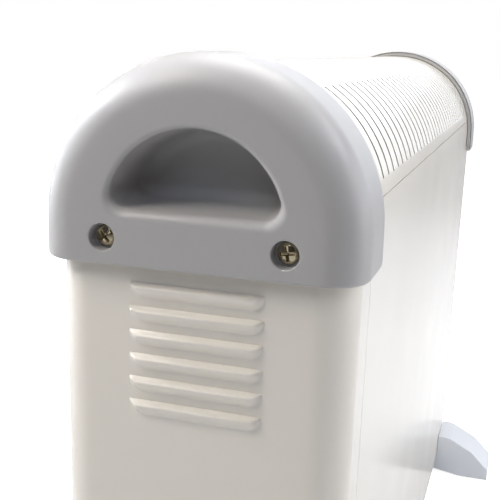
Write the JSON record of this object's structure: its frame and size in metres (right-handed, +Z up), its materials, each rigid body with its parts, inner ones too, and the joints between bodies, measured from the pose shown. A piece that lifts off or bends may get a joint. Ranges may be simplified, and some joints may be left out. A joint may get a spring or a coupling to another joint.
{
  "type": "convector heater",
  "caption": "Free-standing convector heater with a half-round slotted top, moulded end caps with grip recesses, louvred ends and moulded feet",
  "frame": {"origin": "on the floor at the middle of the outline, midway between the left end cap and the face of the knob", "axes": "+X along the casing to the control end, -Y out of the front, +Z up"},
  "size_m": [0.5518, 0.216, 0.385],
  "materials": {
    "moulded_grey_plastic": "fine moulded texture",
    "foot_plastic": "fine moulded texture",
    "painted_casing": "gloss stoved paint",
    "zinc_screws": "bright zinc plating",
    "galvanised_steel": "galvanised",
    "bright_shield": "bright aluminised sheet",
    "element_steel": "heat-tinted steel",
    "rubber_pads": "matt",
    "ceramic_parts": "unglazed",
    "black_moulding": "moulded",
    "gloss_rocker": "polished moulding",
    "wire_insulation": "silicone"
  },
  "bodies": {
    "casing": {"left_end_cap": "moulded_grey_plastic", "right_end_cap": "moulded_grey_plastic", "left_cap_screws": "zinc_screws", "right_cap_screws": "zinc_screws", "left_end_panel": "painted_casing", "right_end_panel": "painted_casing", "front_panel": "painted_casing", "rear_panel": "painted_casing", "top_grille": "painted_casing", "base_plate": "galvanised_steel", "rear_panel_screws": "zinc_screws", "left_foot": "foot_plastic", "right_foot": "foot_plastic", "left_foot_screws": "zinc_screws", "right_foot_screws": "zinc_screws", "left_foot_pads": "rubber_pads", "right_foot_pads": "rubber_pads", "lower_heating_element": "element_steel", "upper_heating_element": "element_steel", "left_element_bracket": "galvanised_steel", "right_element_bracket": "galvanised_steel", "ceramic_bushes": "ceramic_parts", "front_heat_shield": "bright_shield", "rear_heat_shield": "bright_shield", "thermal_cutout": "element_steel", "thermostat_body": "black_moulding", "low_heat_switch_body": "black_moulding", "high_heat_switch_body": "black_moulding", "terminal_block": "ceramic_parts", "cord_gland": "black_moulding", "internal_wiring": "wire_insulation"},
    "knob": {"thermostat_knob": "moulded_grey_plastic", "thermostat_shaft": "zinc_screws"},
    "low_rocker": {"low_heat_rocker": "gloss_rocker"},
    "high_rocker": {"high_heat_rocker": "gloss_rocker"}
  },
  "joints": [
    {"name": "thermostat_turn", "type": "hinge", "parent": "casing", "child": "knob", "pos_m": [0.2571, 0, 0.2], "axis": [-1, 0, 0], "range_deg": [-135, 135]},
    {"name": "low_heat_press", "type": "hinge", "parent": "casing", "child": "low_rocker", "pos_m": [0.2549, -0.012, 0.142], "axis": [0, 1, 0], "range_deg": [0, 16]},
    {"name": "high_heat_press", "type": "hinge", "parent": "casing", "child": "high_rocker", "pos_m": [0.2549, 0.012, 0.142], "axis": [0, 1, 0], "range_deg": [0, 16]}
  ]
}
